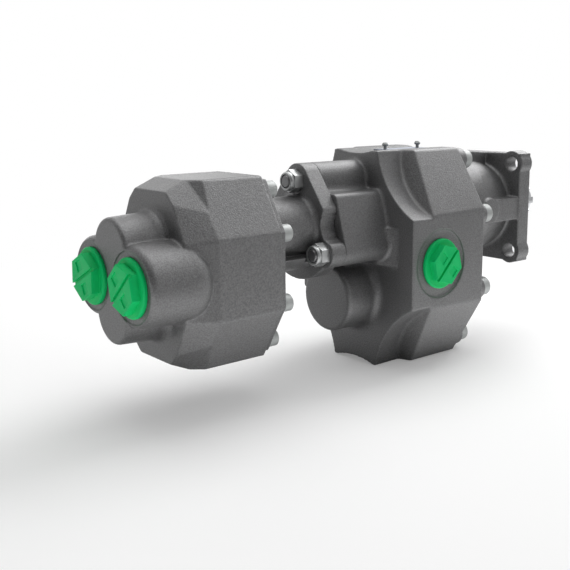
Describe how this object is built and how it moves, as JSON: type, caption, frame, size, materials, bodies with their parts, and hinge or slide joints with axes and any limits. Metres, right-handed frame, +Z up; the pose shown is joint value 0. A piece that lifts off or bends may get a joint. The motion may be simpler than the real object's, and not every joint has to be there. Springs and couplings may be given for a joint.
{
  "type": "tandem hydraulic gear pump",
  "caption": "Tandem hydraulic gear pump: large cast iron pump with square flange and splined shaft, smaller pump bolted behind it on a neck, ports closed by plugs.",
  "frame": {"origin": "centre of the square mounting flange's front face, on the drive shaft's axis", "axes": "+X along the drive shaft, out of the flange towards the driver; +Z up, towards the name plate; +Y across the machine"},
  "size_m": [0.4575, 0.148, 0.1833],
  "materials": {
    "cast_iron": "as cast grey iron with a fine grain",
    "machined_steel": "ground and hobbed steel",
    "zinc_steel": "pale zinc plate",
    "dark_steel": "dark oiled steel",
    "green_plastic": "moulded green plastic",
    "black_rubber": "oil resistant rubber",
    "bearing_bronze": "bearing bronze",
    "block_aluminium": "machined aluminium",
    "plate_aluminium": "bluish satin aluminium"
  },
  "bodies": {
    "housing": {"front_body": "cast_iron", "front_cover": "cast_iron", "rear_body": "cast_iron", "rear_cover": "cast_iron", "front_bearing_block": "block_aluminium", "rear_bearing_block": "block_aluminium", "front_block_liners": "bearing_bronze", "rear_block_liners": "bearing_bronze", "front_rear_bushes": "bearing_bronze", "rear_rear_bushes": "bearing_bronze", "front_wear_plate": "bearing_bronze", "rear_wear_plate": "bearing_bronze", "front_body_seal": "black_rubber", "rear_body_seal": "black_rubber", "front_pressure_seal": "black_rubber", "rear_pressure_seal": "black_rubber", "tandem_spigot_seal": "black_rubber", "input_shaft_seal": "black_rubber", "rear_shaft_seal": "black_rubber", "input_seal_ring": "dark_steel", "rear_seal_ring": "dark_steel", "tandem_studs": "dark_steel", "nut_locking_rings": "black_rubber", "front_cover_screws": "zinc_steel", "rear_cover_screws": "zinc_steel", "tandem_nuts": "zinc_steel", "front_dowel_pins": "machined_steel", "rear_dowel_pins": "machined_steel", "name_plate": "plate_aluminium", "name_plate_screws": "zinc_steel", "near_side_plug": "green_plastic", "far_side_plug": "green_plastic", "near_rear_plug": "green_plastic", "far_rear_plug": "green_plastic"},
    "drive_line": {"front_drive_gear": "machined_steel", "rear_drive_gear": "machined_steel", "shaft_coupling": "dark_steel"},
    "front_driven": {"front_driven_gear": "machined_steel"},
    "rear_driven": {"rear_driven_gear": "machined_steel"}
  },
  "joints": [
    {"name": "drive_spin", "type": "hinge", "parent": "housing", "child": "drive_line", "pos_m": [0, 0, 0], "axis": [1, 0, 0], "continuous": true},
    {"name": "front_driven_spin", "type": "hinge", "parent": "housing", "child": "front_driven", "pos_m": [-0.14, 0, -0.062], "axis": [1, 0, 0], "continuous": true},
    {"name": "rear_driven_spin", "type": "hinge", "parent": "housing", "child": "rear_driven", "pos_m": [-0.33, 0, -0.043], "axis": [1, 0, 0], "continuous": true}
  ],
  "couplings": [
    {"joint": "front_driven_spin", "follows": "drive_spin", "ratio": -1},
    {"joint": "rear_driven_spin", "follows": "drive_spin", "ratio": -1}
  ]
}
